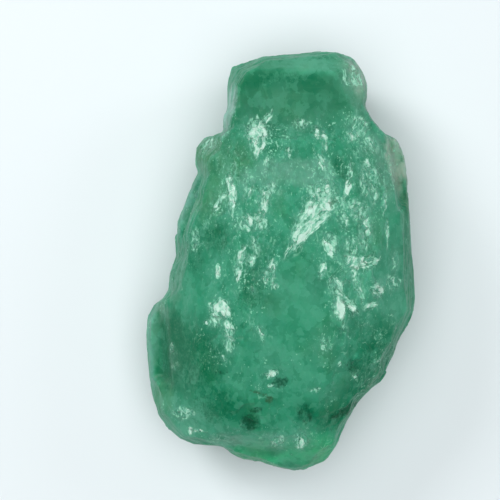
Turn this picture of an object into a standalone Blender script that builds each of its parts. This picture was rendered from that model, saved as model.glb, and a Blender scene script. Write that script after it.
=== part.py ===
"""Raw emerald crystal: one broken prism of beryl, 20 mm long, lying on its cleaved back.

X runs across the crystal and Y along its growth axis, towards the smooth block at the top end.
Z is up from the flat back face that it rests on. Numbers are in millimetres here, and each
mesh is made in metres.
"""
import math
import bmesh
import bpy
from mathutils import Vector

MM = 0.001
WIDTH, LENGTH, THICKNESS = 12.8, 20.0, 8.4

# The outline seen from above, anticlockwise: x across, y along.
TOP_END = [(4.15, 7.8), (4.15, 8.45), (3.9, 9.1), (3.5, 9.7), (2.75, 10.0), (0.95, 9.9),
           (-1.0, 9.75), (-2.3, 9.3), (-2.5, 8.5)]
BLOCK_LEFT_SIDE = [(-2.55, 7.35), (-2.7, 6.75), (-2.75, 6.05)]
KNOB = [(-3.7, 5.9), (-4.05, 5.45), (-4.1, 4.95), (-3.9, 4.3)]
LEFT_SIDE = [(-4.3, 3.5), (-4.65, 2.55), (-4.95, 1.9), (-5.0, 1.2), (-5.0, 0.3), (-5.3, -0.55),
             (-5.35, -1.35)]
LEFT_FLANGE = [(-5.6, -1.8), (-6.05, -2.1), (-6.35, -2.65), (-6.4, -3.5), (-6.25, -5.55)]
LOWER_LEFT_CURVE = [(-6.1, -6.6), (-5.85, -7.35), (-5.35, -8.0), (-4.75, -8.5), (-4.1, -8.75)]
BOTTOM_END = [(-3.35, -8.8), (-2.7, -8.85), (-2.35, -9.15), (-1.75, -9.45), (-0.85, -9.6),
              (0.0, -9.85), (0.75, -10.0), (1.45, -9.85), (2.2, -9.5)]
LOWER_RIGHT_SIDE = [(2.65, -8.8), (3.15, -7.65), (3.5, -7.0), (3.85, -6.5), (4.3, -6.0),
                    (4.7, -5.75), (5.0, -5.3), (5.25, -4.7), (5.55, -3.9), (6.0, -3.1)]
RIGHT_SIDE = [(6.3, -2.4), (6.4, -1.75), (6.25, 0.45), (6.15, 2.2), (6.05, 3.8)]
RIGHT_FLAKE = [(5.95, 4.85), (5.8, 5.35), (5.5, 5.75), (4.95, 6.05), (4.35, 6.7), (4.05, 7.4)]
OUTLINE = (TOP_END + BLOCK_LEFT_SIDE + KNOB + LEFT_SIDE + LEFT_FLANGE + LOWER_LEFT_CURVE
           + BOTTOM_END + LOWER_RIGHT_SIDE + RIGHT_SIDE + RIGHT_FLAKE)

# The middle of the crystal, from the top end to the bottom end. Walls lean towards it.
SPINE = [(0.75, 7.0), (0.8, 4.0), (0.6, 0.0), (-0.3, -4.5), (-0.9, -6.8)]

# The walls of the uncut blank, ring by ring: height, how far in from the outline, how much
# of the outline's small steps has faded out, and how uneven the ring is. The fourth ring is the
# widest. Each one climbs from the left side to the right one.
WALL_RINGS = [(-1.0, 1.9, 1.0, 0.15), (1.2, 0.85, 0.8, 0.25), (2.7, 0.25, 0.35, 0.15),
              (3.9, 0.0, 0.0, 0.0), (5.2, 0.25, 0.4, 0.2), (7.2, 0.85, 0.8, 0.25),
              (9.8, 1.9, 1.0, 0.1)]
RING_CLIMB = 0.11  # rise of a ring for each millimetre to the right
FADE_PASSES = 9
BLOCK_FOOT = 6.0  # y above which the crystal is its smooth block
BLOCK_LEAN = 0.5  # how far the block's walls lean and round off, as a share of the others

# Flat facets that cut the front: a point on each, the way it falls (degrees from +X), its slope.
FRONT_FACETS = [
    ((0.8, 7.4, 7.3), 82, 9),  # the body above the top block
    ((0.6, 9.2, 6.2), 88, 50),  # broken top end
    ((3.6, 8.2, 6.1), 25, 44),  # chipped corner of the block
    ((4.2, 6.0, 6.5), 30, 36),  # upper right shoulder
    ((-3.0, 5.0, 6.7), 168, 34),  # behind the knob
    ((-2.0, 1.0, 8.0), 174, 12),  # left half of the face
    ((-3.6, 0.5, 7.3), 186, 28),  # left edge of the face
    ((3.2, 1.0, 8.1), 4, 13),  # right half of the face
    ((0.5, 0.5, 8.5), 262, 5),  # middle of the face
    ((-0.2, -4.6, 7.9), 266, 16),  # lower part of the face
    ((-0.6, -7.2, 6.9), 268, 29),  # foot of the face
    ((5.2, 0.2, 6.9), 356, 46),  # right side face
    ((4.7, 2.9, 7.1), 14, 33),  # upper right side face
    ((4.1, -4.4, 6.9), 328, 34),  # lower right side face
    ((2.6, -7.4, 6.2), 318, 42),  # lower right corner
    ((-4.6, 1.2, 6.4), 184, 50),  # left side face
    ((-4.2, -5.4, 6.6), 208, 31),  # lower left shoulder
    ((-5.0, -7.2, 5.1), 222, 46),  # lower left corner
    ((-0.3, -9.0, 5.4), 265, 47),  # bottom end
]
REST_FACE = ((0.0, 0.0, 0.0), 0, 0)  # the flat back that it lies on
# The same for the underside, between the walls and the flat back. A slope is again from level.
BACK_FACETS = [
    ((-3.9, 1.0, 0.0), 181, 50), ((-4.3, -4.4, 0.0), 190, 50), ((4.1, 0.5, 0.0), 358, 58),
    ((2.9, -5.0, 0.0), 325, 47), ((-0.4, -7.9, 0.0), 272, 48), ((-3.9, -6.6, 0.0), 226, 52),
    ((0.8, 8.2, 0.0), 92, 54), ((3.1, 6.3, 0.0), 32, 52), ((-1.9, 6.0, 0.0), 160, 60),
]

# Steps broken out of the front: the middle of each step's floor, the floor's length and width,
# the way it falls (degrees from +X), its slope, and how far the walls around it lean outwards
# for each millimetre up.
STEPS = {
    "block_face": ((0.9, 8.9, 6.45), (9.0, 5.0), 87, 4, 1.0),
    "block_left_face": ((-2.7, 7.6, 5.7), (2.8, 2.6), 174, 58, 0.2),
    "left_rim": ((-5.2, 2.65, 4.1), (3.6, 2.2), 162, 14, 0.25),
    "left_notch": ((-5.9, -0.6, 4.3), (1.9, 1.7), 176, 14, 0.3),
    "flange": ((-6.75, -3.7, 3.9), (3.8, 2.3), 184, 9, 0.55),
    "bottom_lobe": ((-1.7, -9.8, 4.6), (3.0, 1.9), 262, 16, 1.0),
    "right_flake": ((6.2, 4.4, 5.0), (3.0, 1.7), 8, 12, 0.35),
    "lower_right": ((4.8, -6.9, 4.9), (2.2, 1.6), 330, 14, 0.5),
}
STEP_HEIGHT = 5.0  # each step's cutter reaches above the front

EMERALD_GREEN = (0.065, 0.31, 0.18, 1.0)
SURFACE_ROUGHNESS = 0.32
BERYL_IOR = 1.58


def clear_scene():
    for old in list(bpy.data.objects):
        bpy.data.objects.remove(old)


def faded(points):
    """The same closed outline with its small steps smoothed away."""
    for _ in range(FADE_PASSES):
        points = [(points[i - 1] + 2 * points[i] + points[(i + 1) % len(points)]) / 4
                  for i in range(len(points))]
    return points


def nearest_on_spine(point):
    """The point of the spine that is closest to a point of the outline."""
    best = None
    for start, end in zip(SPINE, SPINE[1:]):
        start, end = Vector(start), Vector(end)
        along = (point - start).dot(end - start) / (end - start).length_squared
        on_line = start + (end - start) * min(max(along, 0.0), 1.0)
        if best is None or (on_line - point).length < (best - point).length:
            best = on_line
    return best


def uneven(index, ring):
    """A fixed wobble from -1 to 1 for one point of one wall ring."""
    return math.sin(index * 2.4 + ring * 1.7) * math.cos(index * 0.9 - ring * 2.3)


def wall_ring(blank, ring):
    """Adds the points of one ring of the blank's wall."""
    height, inset, fade, wobble = WALL_RINGS[ring]
    outline = [Vector(point) for point in OUTLINE]
    verts = []
    for index, (sharp, smooth) in enumerate(zip(outline, faded(outline))):
        lean = BLOCK_LEAN if sharp.y > BLOCK_FOOT else 1.0
        point = sharp.lerp(smooth, fade * lean)
        inwards = (nearest_on_spine(point) - point).normalized()
        point += inwards * (inset + wobble * uneven(index, ring)) * lean
        verts.append(blank.verts.new((point.x * MM, point.y * MM,
                                      (height + RING_CLIMB * point.x) * MM)))
    return verts


def rough_blank():
    """A slab with the crystal's outline, as a closed mesh with a few leaning walls."""
    blank = bmesh.new()
    rings = [wall_ring(blank, ring) for ring in range(len(WALL_RINGS))]
    for lower, upper in zip(rings, rings[1:]):
        for i in range(len(OUTLINE)):
            j = (i + 1) % len(OUTLINE)
            blank.faces.new((lower[i], lower[j], upper[j], upper[i]))
    blank.faces.new(reversed(rings[0]))
    blank.faces.new(rings[-1])
    return blank


def cleave(solid, point, falls_towards, slope, upwards=True):
    """Cuts the solid by a plane, and closes the cut with the new flat face."""
    turn, tilt = math.radians(falls_towards), math.radians(slope)
    normal = Vector((math.sin(tilt) * math.cos(turn), math.sin(tilt) * math.sin(turn),
                     math.cos(tilt) if upwards else -math.cos(tilt)))
    everything = solid.verts[:] + solid.edges[:] + solid.faces[:]
    cut = bmesh.ops.bisect_plane(solid, geom=everything, dist=1e-7, plane_co=Vector(point) * MM,
                                 plane_no=normal, clear_outer=True)
    rim = [e for e in cut["geom_cut"] if isinstance(e, bmesh.types.BMEdge)]
    bmesh.ops.edgenet_fill(solid, edges=rim)


def fit_to_size(solid):
    """Brings the cleaved solid to its real size, on z = 0 and centred in x and y."""
    spans = [[min(values), max(values)] for values in zip(*(v.co for v in solid.verts))]
    foot = Vector((sum(spans[0]) / 2, sum(spans[1]) / 2, spans[2][0]))
    sizes = (WIDTH * MM, LENGTH * MM, THICKNESS * MM)
    stretch = [size / (high - low) for size, (low, high) in zip(sizes, spans)]
    bmesh.ops.translate(solid, vec=-foot, verts=solid.verts)
    bmesh.ops.scale(solid, vec=stretch, verts=solid.verts)


def step_cutter(name, middle, floor, falls_towards, slope, lean):
    """A block with leaning walls, whose lower face is the floor of the step."""
    length, width = floor
    corners = [(-1, -1), (1, -1), (1, 1), (-1, 1)]
    block = bmesh.new()
    rings = []
    for height in (0.0, STEP_HEIGHT):
        along, across = length / 2 + lean * height, width / 2 + lean * height
        rings.append([block.verts.new(Vector((x * along, y * across, height)) * MM)
                      for x, y in corners])
    block.faces.new(reversed(rings[0]))
    block.faces.new(rings[1])
    for i in range(len(corners)):
        j = (i + 1) % len(corners)
        block.faces.new((rings[0][i], rings[0][j], rings[1][j], rings[1][i]))
    mesh = bpy.data.meshes.new(name)
    block.to_mesh(mesh)
    block.free()
    cutter = bpy.data.objects.new(name, mesh)
    cutter.location = Vector(middle) * MM
    cutter.rotation_euler = (math.radians(-slope), 0.0, math.radians(falls_towards - 90))
    cutter.hide_render = True
    cutter.display_type = "WIRE"
    bpy.context.scene.collection.objects.link(cutter)
    return cutter


def emerald_material():
    emerald = bpy.data.materials.new("emerald")
    emerald.use_nodes = True
    shader = emerald.node_tree.nodes["Principled BSDF"]
    shader.inputs["Base Color"].default_value = EMERALD_GREEN
    shader.inputs["Roughness"].default_value = SURFACE_ROUGHNESS
    shader.inputs["Metallic"].default_value = 0.0
    shader.inputs["IOR"].default_value = BERYL_IOR
    return emerald


def build_crystal():
    solid = rough_blank()
    cleave(solid, *REST_FACE, upwards=False)
    for point, falls_towards, slope in FRONT_FACETS:
        cleave(solid, point, falls_towards, slope)
    for point, falls_towards, slope in BACK_FACETS:
        cleave(solid, point, falls_towards, slope, upwards=False)
    fit_to_size(solid)
    bmesh.ops.recalc_face_normals(solid, faces=solid.faces)
    mesh = bpy.data.meshes.new("emerald_crystal")
    solid.to_mesh(mesh)
    solid.free()
    mesh.materials.append(emerald_material())
    crystal = bpy.data.objects.new("emerald_crystal", mesh)
    bpy.context.scene.collection.objects.link(crystal)
    for name, step in STEPS.items():
        chip = crystal.modifiers.new(name, "BOOLEAN")
        chip.operation = "DIFFERENCE"
        chip.object = step_cutter(name, *step)
    return crystal


def main():
    clear_scene()
    build_crystal()


main()
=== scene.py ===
"""Builds the look of a raw emerald crystal that lies on its flat back on a pale floor.

One broken, milky green prism of beryl, with dark specks, a brown healed crack and pale veils
sealed inside it. X runs across the crystal, Y along its growth axis and Z up through it.
"""
import math
from typing import NamedTuple

import bpy
import numpy as np
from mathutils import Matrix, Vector, noise


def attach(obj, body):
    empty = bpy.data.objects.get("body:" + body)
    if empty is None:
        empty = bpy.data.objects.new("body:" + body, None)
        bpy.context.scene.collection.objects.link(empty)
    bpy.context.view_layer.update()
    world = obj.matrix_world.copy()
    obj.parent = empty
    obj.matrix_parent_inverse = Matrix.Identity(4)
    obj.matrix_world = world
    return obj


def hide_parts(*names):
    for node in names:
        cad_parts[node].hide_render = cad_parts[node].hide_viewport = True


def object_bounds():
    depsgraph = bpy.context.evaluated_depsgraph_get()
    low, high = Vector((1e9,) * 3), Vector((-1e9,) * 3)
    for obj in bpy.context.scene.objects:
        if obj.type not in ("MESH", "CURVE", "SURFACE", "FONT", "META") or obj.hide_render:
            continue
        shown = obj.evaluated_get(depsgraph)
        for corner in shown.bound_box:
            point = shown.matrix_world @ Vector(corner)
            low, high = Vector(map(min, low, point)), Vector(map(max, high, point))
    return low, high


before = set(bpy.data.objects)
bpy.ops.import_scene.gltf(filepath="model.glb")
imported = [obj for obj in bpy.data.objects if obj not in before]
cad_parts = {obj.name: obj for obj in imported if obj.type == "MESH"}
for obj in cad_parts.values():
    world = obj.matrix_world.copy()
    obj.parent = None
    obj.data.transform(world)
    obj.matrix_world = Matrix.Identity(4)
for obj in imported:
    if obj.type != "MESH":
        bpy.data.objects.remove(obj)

bl_info = {
    "name": "Raw emerald crystal",
    "version": (1, 0, 0),
    "blender": (4, 5, 0),
    "location": "View3D > Sidebar > Emerald",
    "description": "Adds a rough emerald crystal with its inclusions, and a pale stage for it",
    "category": "Add Mesh",
}

MM = 0.001

# Sizes in millimetres of what the surface is broken into: across, along and through.
FACET = (1.1, 2.2, 1.1)
CRACKLE = (0.3, 0.55, 0.3)
CHIP = (0.16, 0.4, 0.5)
GRAIN = (0.16, 0.24, 0.16)
# Sizes in millimetres of the pale marks.
BLOTCH = (0.26, 0.6, 0.5)
STROKE = (0.1, 0.26, 0.3)
# The tiny dots drawn at the spark size are painted glints.
SPARK = (0.11, 0.16, 0.12)
# Slopes by which the cells of the surface differ from one another.
FACET_SPREAD = 0.1
CRACKLE_SPREAD = 0.3
CHIP_SPREAD = 0.35
GRAIN_SPREAD = 0.4
# Heights in millimetres of the other breaks.
SWELL_HEIGHT = 0.05
RIDGE_HEIGHT = 0.15
STROKE_HEIGHT = 0.02
STROKE_BUMP = 0.004
FINE_GRAIN_BUMP = 0.01
# Waves for each millimetre of the noises: across, along and through.
SWELL = (0.8, 0.45, 0.8)
HACKLY = (0.9, 0.5, 0.9)  # where the crackle is deep
STRIATION = (0.4, 0.1, 2.2)  # the ridges along the side walls
FINE_GRAIN = (9.0, 5.0, 9.0)
CLOUD = (0.5, 0.4, 0.5)  # wide clouds of deep and milky green
MOTTLE = (1.9, 1.3, 1.9)  # smaller ones on them
TINGE = (0.6, 0.45, 0.6)  # clouds of olive
GROWTH = (0.3, 4.0, 1.0)  # pale growth lines across the smooth parts
STREWN = (0.8, 0.6, 0.8)  # where sparks lie close together
CURL = (1.7, 1.2, 1.7)  # how tightly the pale threads curl
CURLED = (1.2, 0.9, 1.2)  # where there are threads
CRACK_GAPS = (3.0, 2.0, 3.0)  # breaks in the dark lines of the flakes
# How far two of the noises are moved, so that they aren't like the others.
TINGE_AWAY = (7.0, 3.0, 0.0)
CURLED_AWAY = (5.0, 9.0, 0.0)
# Kinds of patches of lighter and darker green: their sizes in millimetres, and how much they differ.
PATCHWORK = (
    ((0.8, 1.1, 0.8), 0.22),
    ((0.28, 0.4, 0.28), 0.35),
)
BUMPED_SHARE = 0.65  # how much of a chip's lean is bump, and not shape
SPRINKLE = 0.8  # how far from a flake small sparks are strewn
SEAM = 0.15  # width over which the chips of a flake fade out towards the next flake
FLAKES_APART = 7.0  # millimetres through the pattern between two flakes, so that they differ
# Widths of the soft edges of patches, as shares of their size.
FLAKE_EDGES = (0.9, 0.5)  # on the left and on the right
ZONE_EDGE = 0.8
STAIN_EDGE = 0.8
SMOOTH_EDGE = 0.5
# Pushes that make edges ragged: waves to the millimetre, and a reach in millimetres.
FLAKE_PUSHES = ((1.1, 0.12), (5.0, 0.07))
ZONE_PUSHES = ((0.7, 0.25), (3.0, 0.15), (8.0, 0.08))
NOISE_SEED = 4  # never 0, which would push them another way each time
# Heights in millimetres at which marks fade in.
FLAKE_FOOT = 3.0
ZONE_FOOT = 4.1
ZONE_DROP = 3.1  # how much lower a zone begins where the stone faces up
FADE_HEIGHT = 1.5
ZONE_ON_WALLS = 0.55  # share of a zone's strength that the walls get
SMOOTH_ON_WALLS = 0.3
STEEPEST = 0.4  # least upward part of a normal that a flake's lean is worked out with
MERGED = 1e-7  # metres within which the solid's points are made one
FINER = 0.2  # upward part of a face's normal above which its grid is made finer

# What is sealed in the stone, in millimetres.
SHEET_GRID = 0.09  # spacing of a sheet's points
SHEET_WALL = 0.03
SHEET_RIM = 0.95  # how far out a sheet with no holes ends, as a share of its half size
SPECK_SHAPE = (1.0, 0.8, 0.45)  # a speck's width, length and thickness, as shares of a ball's
SPECK_PITCH = 15  # degrees by which each speck tips over
SKIN = 0.2  # clear stone between the surface and a sheet

# The stage, in metres.
FLOOR_SIZE = 3.0
FLOOR_GAP = 0.02 * MM  # keeps the floor clear of the flat back
FILL_SIZE = 6.0  # the wide lamp's side, and how high it hangs
SIDE_SHARE = 0.25  # power of the side lamp, as a share of the key's
FOCAL_LENGTH = 200.0  # millimetres
CAMERA_PLACE = (-1.43 * MM, 0.55 * MM, 136.3 * MM)

CAD_NODE = "emerald_crystal"
CAD_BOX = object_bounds()
CRYSTAL = "emerald"


class Patch(NamedTuple):
    """An oval of the front, in millimetres. turn is in degrees, with the top to the right."""
    x: float
    y: float
    half_width: float
    half_length: float
    turn: float = 0.0
    strength: float = 1.0
    narrowing: float = 0.0  # how much narrower the foot is than the middle


# Where cracks just under the surface are pale and shine, with painted glints on them, about from the top
# down.
FLAKES = {
    "block_corner_dots": Patch(3.35, 8.7, 0.5, 0.6, -15, 0.55),
    "block_foot_top": Patch(-0.6, 6.65, 0.17, 0.5, 35, 0.9),
    "block_foot": Patch(-1.1, 5.75, 0.42, 0.85, 3, 1.25, 0.3),
    "block_foot_dots": Patch(0.95, 6.45, 0.35, 0.2, 0, 0.6),
    "block_foot_right": Patch(1.65, 6.0, 0.16, 0.35, 0, 0.75),
    "block_foot_drops": Patch(2.0, 5.6, 0.16, 0.5, 0, 0.7),
    "under_block_chip": Patch(0.37, 5.05, 0.13, 0.35, 0, 0.85),
    "under_block_dots": Patch(-0.6, 4.6, 0.2, 0.25, 0, 0.55),
    "above_feather": Patch(1.9, 4.6, 0.22, 0.35, -10, 0.95),
    "shoulder": Patch(3.3, 5.9, 0.25, 0.3, 20, 0.8),
    "shoulder_dots": Patch(3.6, 6.3, 0.5, 0.6, 20, 0.5),
    "shoulder_low_dots": Patch(4.1, 5.4, 0.6, 0.45, -20, 0.5),
    "knob_dots": Patch(-3.4, 5.6, 0.35, 0.35, 0, 0.45),
    "left_streak": Patch(-2.3, 3.15, 0.2, 0.95, -5, 1.15, 0.3),
    "left_streak_faint": Patch(-2.85, 2.75, 0.14, 0.6, 30, 0.6),
    "left_speckle": Patch(-1.6, 3.5, 0.4, 0.5, 0, 0.45),
    "middle_streak_top": Patch(-0.5, 3.4, 0.5, 0.3, 0, 0.7),
    "middle_streak": Patch(-0.78, 2.85, 0.28, 0.75, 3, 1.1, 0.2),
    "middle_crackle": Patch(-1.3, 1.8, 0.7, 0.45, 0, 0.75),
    "middle_chip": Patch(-1.25, 0.8, 0.15, 0.45, -15, 0.65),
    "feather": Patch(1.35, 1.95, 0.55, 2.0, 32, 1.1, 0.7),
    "feather_top": Patch(1.95, 3.2, 0.4, 0.55, 30, 0.9),
    "right_streak": Patch(3.1, 3.6, 0.13, 0.85, 6, 0.95),
    "right_streak_foot": Patch(2.85, 2.75, 0.1, 0.4, 15, 0.6),
    "right_speckle": Patch(3.95, 3.9, 0.25, 0.9, 5, 0.6),
    "right_speckle_low": Patch(4.3, 3.5, 0.3, 1.0, 0, 0.55),
    "right_line": Patch(4.82, 2.9, 0.1, 0.75, 0, 0.75),
    "right_cluster": Patch(3.5, 2.35, 0.6, 0.5, 0, 0.6),
    "right_cluster_low": Patch(2.85, 1.95, 0.25, 0.4, -20, 0.65),
    "right_band": Patch(3.9, 1.3, 0.35, 0.8, 0, 0.6),
    "edge_streak": Patch(4.97, 1.3, 0.07, 0.8, 0, 0.95),
    "right_chip": Patch(2.35, 0.85, 0.3, 0.55, -8, 0.9),
    "right_middle": Patch(3.2, 0.7, 0.4, 0.5, 0, 0.5),
    "small_chip": Patch(1.87, -0.35, 0.17, 0.45, 15, 0.75),
    "crackle_arch": Patch(3.25, 0.0, 0.5, 0.3, 40, 0.95),
    "crackle_arch_right": Patch(4.05, 0.0, 0.3, 0.55, 80, 0.9),
    "crackle_arch_foot": Patch(3.2, -0.65, 0.35, 0.35, 0, 0.65),
    "edge_dots": Patch(5.35, 0.0, 0.25, 0.6, 0, 0.45),
    "edge_dots_low": Patch(5.2, -1.0, 0.55, 0.4, 0, 0.5),
    "fan_top": Patch(2.55, -1.15, 0.35, 0.45, -25, 0.9),
    "fan_left": Patch(2.65, -2.1, 0.3, 0.6, -12, 1.2),
    "fan_middle": Patch(3.2, -1.95, 0.2, 0.6, -38, 1.15),
    "fan_right": Patch(3.6, -1.4, 0.15, 0.7, -22, 0.9),
    "fan_tail": Patch(2.88, -2.85, 0.09, 0.3, 0, 0.7),
    "right_hook": Patch(4.5, -1.3, 0.3, 0.35, -50, 0.85),
    "right_hook_foot": Patch(4.2, -2.05, 0.15, 0.4, 80, 0.6),
    "left_edge_dots": Patch(-4.0, 1.0, 0.2, 0.6, 0, 0.55),
    "left_chip": Patch(-1.8, 0.25, 0.18, 0.35, 5, 0.95),
    "left_chip_low": Patch(-2.0, -0.5, 0.17, 0.42, 5, 0.95),
    "left_dot": Patch(-2.88, -0.5, 0.12, 0.33, 5, 0.95),
    "left_dots": Patch(-1.35, 0.05, 0.2, 0.25, 0, 0.75),
    "centre_chip": Patch(-0.45, -0.2, 0.2, 0.28, 0, 1.0),
    "centre_chip_tail": Patch(-0.35, -0.75, 0.08, 0.5, 5, 0.8),
    "centre_chip_left": Patch(-0.75, -0.65, 0.22, 0.32, 0, 0.6),
    "centre_dots": Patch(-0.22, -1.1, 0.17, 0.15, 0, 0.8),
    "centre_dot": Patch(-1.35, -1.3, 0.09, 0.12, 0, 0.9),
    "lower_left": Patch(-2.85, -2.2, 0.45, 0.5, -10, 1.1),
    "lower_left_middle": Patch(-3.1, -2.8, 0.35, 0.3, 0, 0.7),
    "lower_left_tail": Patch(-2.42, -3.15, 0.22, 0.45, -15, 1.15, 0.2),
    "lower_left_foot": Patch(-2.4, -3.8, 0.27, 0.4, 0, 0.55),
    "lower_left_dot": Patch(-3.5, -2.85, 0.09, 0.09, 0, 1.0),
    "low_chip": Patch(-0.92, -3.4, 0.12, 0.4, -20, 0.8),
    "low_scratch": Patch(-2.7, -4.5, 0.07, 0.25, -40, 0.85),
    "low_dot": Patch(-0.45, -5.2, 0.28, 0.2, -10, 1.5),
    "low_dot_foot": Patch(-0.45, -5.8, 0.2, 0.09, 0, 0.9),
    "low_right_dots": Patch(2.0, -3.8, 0.2, 0.3, 0, 0.6),
    "low_right_dot": Patch(2.75, -4.7, 0.09, 0.13, 20, 0.95),
    "low_right_scratch": Patch(4.5, -4.65, 0.05, 0.2, 55, 1.0),
    "low_edge_dot": Patch(3.5, -5.27, 0.14, 0.07, 0, 0.9),
    "low_middle_dots": Patch(1.6, -5.9, 0.25, 0.12, 0, 0.65),
    "flange_dot": Patch(-5.1, -4.1, 0.13, 0.25, 0, 0.75),
    "flange_dots": Patch(-5.0, -4.7, 0.25, 0.5, 0, 0.45),
    "corner_dots": Patch(-4.6, -7.1, 0.6, 0.3, 0, 0.5),
    "corner_dot": Patch(-4.25, -8.0, 0.1, 0.2, 0, 0.95),
    "corner_line": Patch(-3.8, -8.02, 0.35, 0.08, 0, 0.7),
    "foot_dot": Patch(-3.05, -8.7, 0.1, 0.09, 0, 0.95),
    "foot_crackle": Patch(0.95, -8.4, 0.4, 0.45, 0, 0.6),
    "foot_dots": Patch(-0.1, -8.4, 0.35, 0.35, 0, 0.5),
    "foot_line": Patch(-1.15, -9.5, 0.2, 0.07, -15, 0.9),
}


# Dark stains just under the surface, over the mica and the healed crack, clouds of deep green, and
# painted shadows at the top of the block, in the wedge and in the recess beside the flange.
STAINS_AND_SHADOWS = {
    # Painted shadow along the top edge of the block.
    "block_shade": (Patch(-0.2, 8.55, 2.1, 0.22, -5, 0.4), "shade"),
    # Painted shadow in the wedge.
    "wedge_shade": (Patch(2.75, 4.3, 0.25, 0.6, -25, 0.55), "shade"),
    "upper_left_shade": (Patch(-3.0, 1.1, 0.65, 0.45, 20, 0.55), "shade"),
    "left_shade": (Patch(-4.0, 0.2, 0.5, 0.8, 0, 0.35), "shade"),
    "middle_shade": (Patch(-1.4, -1.6, 0.7, 0.7, 20, 0.45), "shade"),
    # Painted shadow in the recess beside the flange.
    "flange_shade": (Patch(-5.0, -4.2, 0.6, 1.6, 3, 1.0), "shade"),
    "lower_left_shade": (Patch(-4.0, -4.5, 1.0, 1.4, -20, 0.7), "shade"),
    "low_left_shade": (Patch(-3.1, -6.6, 1.0, 0.9, 0, 0.55), "shade"),
    "right_low_shade": (Patch(4.3, -4.4, 0.55, 1.4, 35, 0.5), "shade"),
    "foot_shade": (Patch(2.3, -7.5, 0.7, 0.6, 0, 0.4), "shade"),
    "mica_left": (Patch(-1.5, -7.5, 0.36, 0.36, 30, 1.0), "mica"),
    "mica_left_top": (Patch(-1.22, -6.92, 0.34, 0.16, -10, 0.75), "mica"),
    "mica_middle": (Patch(0.0, -5.6, 0.42, 0.24, -20, 0.8), "mica"),
    "mica_right": (Patch(1.14, -7.15, 0.4, 0.5, 10, 0.6), "mica"),
    "mica_edge": (Patch(3.0, -6.98, 0.85, 0.2, -25, 1.0), "mica"),
    "mica_low_right": (Patch(3.35, -4.85, 0.35, 0.35, 40, 0.55), "mica"),
    "mica_flange": (Patch(-4.95, -3.9, 0.3, 0.8, 10, 0.45), "mica"),
    "healed_crack": (Patch(-0.95, -6.12, 0.09, 0.7, -67, 0.65), "rusty"),
    "healed_crack_end": (Patch(-0.52, -6.4, 0.2, 0.17, 0, 0.9), "rusty"),
    "left_fleck": (Patch(-2.9, -5.2, 0.4, 0.12, -10, 0.45), "mica"),
}


class Speck(NamedTuple):
    """A grain of mica: where it lies, how deep under the front, and its radius, in millimetres."""
    x: float
    y: float
    depth: float
    radius: float
    turn: float = 0.0


class Sheet(NamedTuple):
    """A flat sheet in the stone: where, how deep, its sizes in millimetres and its turns."""
    x: float
    y: float
    depth: float
    width: float
    length: float
    roll: float = 0.0  # degrees about Y
    pitch: float = 0.0  # degrees about X
    turn: float = 0.0  # degrees about Z
    bend: float = 0.3


SPECKS = {
    "mica_left": Speck(-1.5, -7.45, 0.5, 0.34, 20),
    "mica_left_top": Speck(-1.25, -6.95, 0.45, 0.16, 60),
    "mica_middle": Speck(0.0, -5.65, 0.5, 0.3, 30),
    "mica_crack": Speck(-0.5, -6.35, 0.45, 0.16, 0),
    "mica_right": Speck(1.2, -7.2, 0.6, 0.3, 80),
    "mica_edge": Speck(2.75, -6.95, 0.5, 0.24, -20),
    "mica_low_right": Speck(3.3, -4.9, 0.7, 0.22, 40),
    "mica_flange": Speck(-4.95, -3.7, 0.9, 0.2, 10),
}
CRACK = Sheet(-0.95, -6.1, 0.75, 1.5, 0.7, pitch=65, turn=-28, bend=0.12)
VEILS = {
    "veil_under_feather": Sheet(1.3, 2.0, 0.9, 1.6, 4.2, 12, 5, -32),
    "veil_crack_plane": Sheet(-0.4, 3.9, 0.9, 3.4, 1.6, 10, -25, 12),
    "veil_upper": Sheet(1.2, 5.0, 1.3, 3.6, 2.0, -8, 20, 8),
    "veil_centre": Sheet(1.0, -1.6, 1.6, 3.0, 4.0, -15, 8, 20),
    "veil_right": Sheet(3.9, 0.3, 1.1, 2.2, 3.6, -22, 10, 12),
    "veil_lower_left": Sheet(-2.8, -2.7, 0.8, 1.4, 2.4, 18, 0, 14),
    "veil_low": Sheet(0.6, -4.6, 1.4, 4.0, 2.2, 5, 22, -5),
    "veil_foot": Sheet(-2.6, -7.8, 0.8, 3.0, 1.6, 10, 15, 25),
    "veil_block": Sheet(0.8, 7.6, 1.2, 3.4, 2.0, 0, -15, -6),
}
# Parts of the surface that grew or cleaved smooth.
SMOOTH = {
    "block_face": Patch(0.6, 8.3, 3.6, 1.7, strength=0.9),
    "right_side": Patch(5.7, -0.2, 1.1, 3.2, strength=0.8),
    "lower_middle": Patch(0.2, -5.4, 3.2, 2.2, strength=0.6),
    "centre": Patch(0.6, -2.2, 1.6, 1.9, strength=0.85),
    "left_middle": Patch(-3.6, -1.0, 1.2, 2.2, strength=0.5),
    "flange": Patch(-5.2, -4.4, 1.2, 2.8, strength=0.9),
    "corner": Patch(-4.0, -7.4, 2.2, 1.5, -30, 0.6),
    "foot": Patch(-0.3, -9.2, 2.8, 0.9, strength=0.7),
}

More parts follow.
